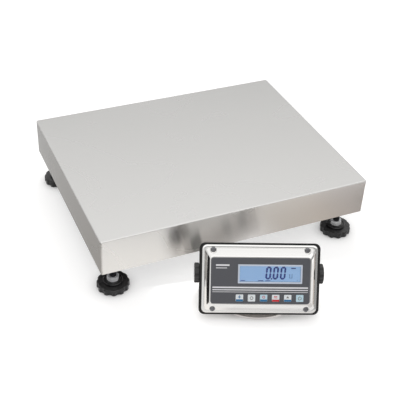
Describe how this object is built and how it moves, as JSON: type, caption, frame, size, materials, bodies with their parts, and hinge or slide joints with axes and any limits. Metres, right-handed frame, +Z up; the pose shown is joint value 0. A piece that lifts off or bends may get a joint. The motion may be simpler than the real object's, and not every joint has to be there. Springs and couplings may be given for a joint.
{
  "type": "platform scale",
  "caption": "Platform scale: a folded steel weighing plate on levelling feet over a load cell, with a separate display head on a tilting stand.",
  "frame": {"origin": "on the floor, in the middle of the whole outline of platform and display", "axes": "+Z up, +X along the weighing plate's long edge to the right as seen from the display's side, +Y from the display towards the platform"},
  "size_m": [0.5, 0.5696, 0.127],
  "materials": {
    "satin_stainless": "fine brushed",
    "polished_stainless": "polished",
    "frame_paint": "hammered grey paint",
    "plated_steel": "bright zinc plated",
    "black_steel": "black oxide",
    "cell_aluminium": "machined",
    "black_rubber": "matt",
    "black_nylon": "moulded",
    "white_cover": "matt",
    "vial_glass": "clear",
    "panel_film": "satin film",
    "bezel_plastic": "satin",
    "clear_window": "clear",
    "blue_display": "lit panel",
    "key_film": "satin",
    "board_green": "solder mask",
    "brass_post": "turned",
    "battery_sleeve": "shrunk sleeve"
  },
  "bodies": {
    "base_frame": {"cross_beam": "frame_paint", "side_rails": "frame_paint", "side_rail_caps": "black_nylon", "foot_bushes": "plated_steel", "overload_stops": "plated_steel", "cell_cable_gland": "black_nylon", "spirit_level_case": "black_nylon", "spirit_level_vial": "vial_glass", "load_cell": "cell_aluminium", "gauge_covers": "white_cover", "lower_spacer": "plated_steel", "fixed_end_bolts": "plated_steel"},
    "load_carrier": {"carrier_spine": "frame_paint", "carrier_arms": "frame_paint", "carrier_arm_caps": "black_nylon", "upper_spacer": "plated_steel", "free_end_bolts": "plated_steel", "plate_bumpers": "black_rubber"},
    "plate": {"weighing_plate": "satin_stainless"},
    "stand": {"display_stand": "satin_stainless", "stand_pads": "black_rubber", "friction_washers": "white_cover"},
    "head": {"front_cover": "polished_stainless", "cover_gasket": "black_rubber", "membrane_panel": "panel_film", "window_bezel": "bezel_plastic", "window_lens": "clear_window", "lcd_module": "blue_display", "keypad_board": "board_green", "rear_housing": "polished_stainless", "pivot_bosses": "plated_steel", "cover_screws": "plated_steel", "main_board": "board_green", "board_posts": "brass_post", "battery_pack": "battery_sleeve", "battery_strap": "plated_steel", "head_cable_glands": "black_nylon", "breather_plug": "black_nylon"},
    "knob_left": {"clamp_knob_left": "black_nylon"},
    "knob_right": {"clamp_knob_right": "black_nylon"},
    "sole_front_left": {"foot_sole_front_left": "black_rubber"},
    "wheel_front_left": {"star_wheel_front_left": "black_nylon", "foot_spindle_front_left": "black_steel"},
    "sole_front_right": {"foot_sole_front_right": "black_rubber"},
    "wheel_front_right": {"star_wheel_front_right": "black_nylon", "foot_spindle_front_right": "black_steel"},
    "sole_back_left": {"foot_sole_back_left": "black_rubber"},
    "wheel_back_left": {"star_wheel_back_left": "black_nylon", "foot_spindle_back_left": "black_steel"},
    "sole_back_right": {"foot_sole_back_right": "black_rubber"},
    "wheel_back_right": {"star_wheel_back_right": "black_nylon", "foot_spindle_back_right": "black_steel"},
    "key_body_1": {"key_1": "key_film"},
    "key_body_2": {"key_2": "key_film"},
    "key_body_3": {"key_3": "key_film"},
    "key_body_4": {"key_4": "key_film"},
    "key_body_5": {"key_5": "key_film"},
    "key_body_6": {"key_6": "key_film"}
  },
  "joints": [
    {"name": "load_deflection", "type": "slide", "parent": "base_frame", "child": "load_carrier", "axis": [0, 0, 1], "range_m": [-0.0005, 0], "stiffness_N_per_m": 1200000, "deforming": ["load_cell"]},
    {"name": "plate_lift", "type": "slide", "parent": "load_carrier", "child": "plate", "axis": [0, 0, 1], "range_m": [0, 0.12]},
    {"name": "foot_height_front_left", "type": "slide", "parent": "base_frame", "child": "sole_front_left", "axis": [0, 0, 1], "range_m": [-0.007, 0.007]},
    {"name": "foot_turn_front_left", "type": "hinge", "parent": "sole_front_left", "child": "wheel_front_left", "pos_m": [-0.2204, -0.08338, 0], "axis": [0, 0, 1], "range_deg": [-1440, 1440]},
    {"name": "foot_height_front_right", "type": "slide", "parent": "base_frame", "child": "sole_front_right", "axis": [0, 0, 1], "range_m": [-0.007, 0.007]},
    {"name": "foot_turn_front_right", "type": "hinge", "parent": "sole_front_right", "child": "wheel_front_right", "pos_m": [0.2204, -0.08338, 0], "axis": [0, 0, 1], "range_deg": [-1440, 1440]},
    {"name": "foot_height_back_left", "type": "slide", "parent": "base_frame", "child": "sole_back_left", "axis": [0, 0, 1], "range_m": [-0.007, 0.007]},
    {"name": "foot_turn_back_left", "type": "hinge", "parent": "sole_back_left", "child": "wheel_back_left", "pos_m": [-0.2204, 0.25302, 0], "axis": [0, 0, 1], "range_deg": [-1440, 1440]},
    {"name": "foot_height_back_right", "type": "slide", "parent": "base_frame", "child": "sole_back_right", "axis": [0, 0, 1], "range_m": [-0.007, 0.007]},
    {"name": "foot_turn_back_right", "type": "hinge", "parent": "sole_back_right", "child": "wheel_back_right", "pos_m": [0.2204, 0.25302, 0], "axis": [0, 0, 1], "range_deg": [-1440, 1440]},
    {"name": "display_lift", "type": "slide", "parent": "base_frame", "child": "stand", "axis": [0, 0, 1], "range_m": [0, 0.15]},
    {"name": "head_tilt", "type": "hinge", "parent": "stand", "child": "head", "pos_m": [-0.0071, -0.20588, 0.0621], "axis": [0.9291, -0.3697, 0], "range_deg": [-55, 9]},
    {"name": "knob_turn_left", "type": "hinge", "parent": "head", "child": "knob_left", "pos_m": [-0.0071, -0.20588, 0.0621], "axis": [-0.9291, 0.3697, 0], "range_deg": [0, 360]},
    {"name": "knob_turn_right", "type": "hinge", "parent": "head", "child": "knob_right", "pos_m": [-0.0071, -0.20588, 0.0621], "axis": [0.9291, -0.3697, 0], "range_deg": [0, 360]},
    {"name": "key_press_1", "type": "slide", "parent": "head", "child": "key_body_1", "axis": [0.3196, 0.803, -0.503], "range_m": [0, 0.0004], "stiffness_N_per_m": 4000},
    {"name": "key_press_2", "type": "slide", "parent": "head", "child": "key_body_2", "axis": [0.3196, 0.803, -0.503], "range_m": [0, 0.0004], "stiffness_N_per_m": 4000},
    {"name": "key_press_3", "type": "slide", "parent": "head", "child": "key_body_3", "axis": [0.3196, 0.803, -0.503], "range_m": [0, 0.0004], "stiffness_N_per_m": 4000},
    {"name": "key_press_4", "type": "slide", "parent": "head", "child": "key_body_4", "axis": [0.3196, 0.803, -0.503], "range_m": [0, 0.0004], "stiffness_N_per_m": 4000},
    {"name": "key_press_5", "type": "slide", "parent": "head", "child": "key_body_5", "axis": [0.3196, 0.803, -0.503], "range_m": [0, 0.0004], "stiffness_N_per_m": 4000},
    {"name": "key_press_6", "type": "slide", "parent": "head", "child": "key_body_6", "axis": [0.3196, 0.803, -0.503], "range_m": [0, 0.0004], "stiffness_N_per_m": 4000}
  ],
  "couplings": [
    {"joint": "foot_turn_front_left", "follows": "foot_height_front_left", "rad_per_m": 3590.4},
    {"joint": "foot_turn_front_right", "follows": "foot_height_front_right", "rad_per_m": 3590.4},
    {"joint": "foot_turn_back_left", "follows": "foot_height_back_left", "rad_per_m": 3590.4},
    {"joint": "foot_turn_back_right", "follows": "foot_height_back_right", "rad_per_m": 3590.4}
  ]
}
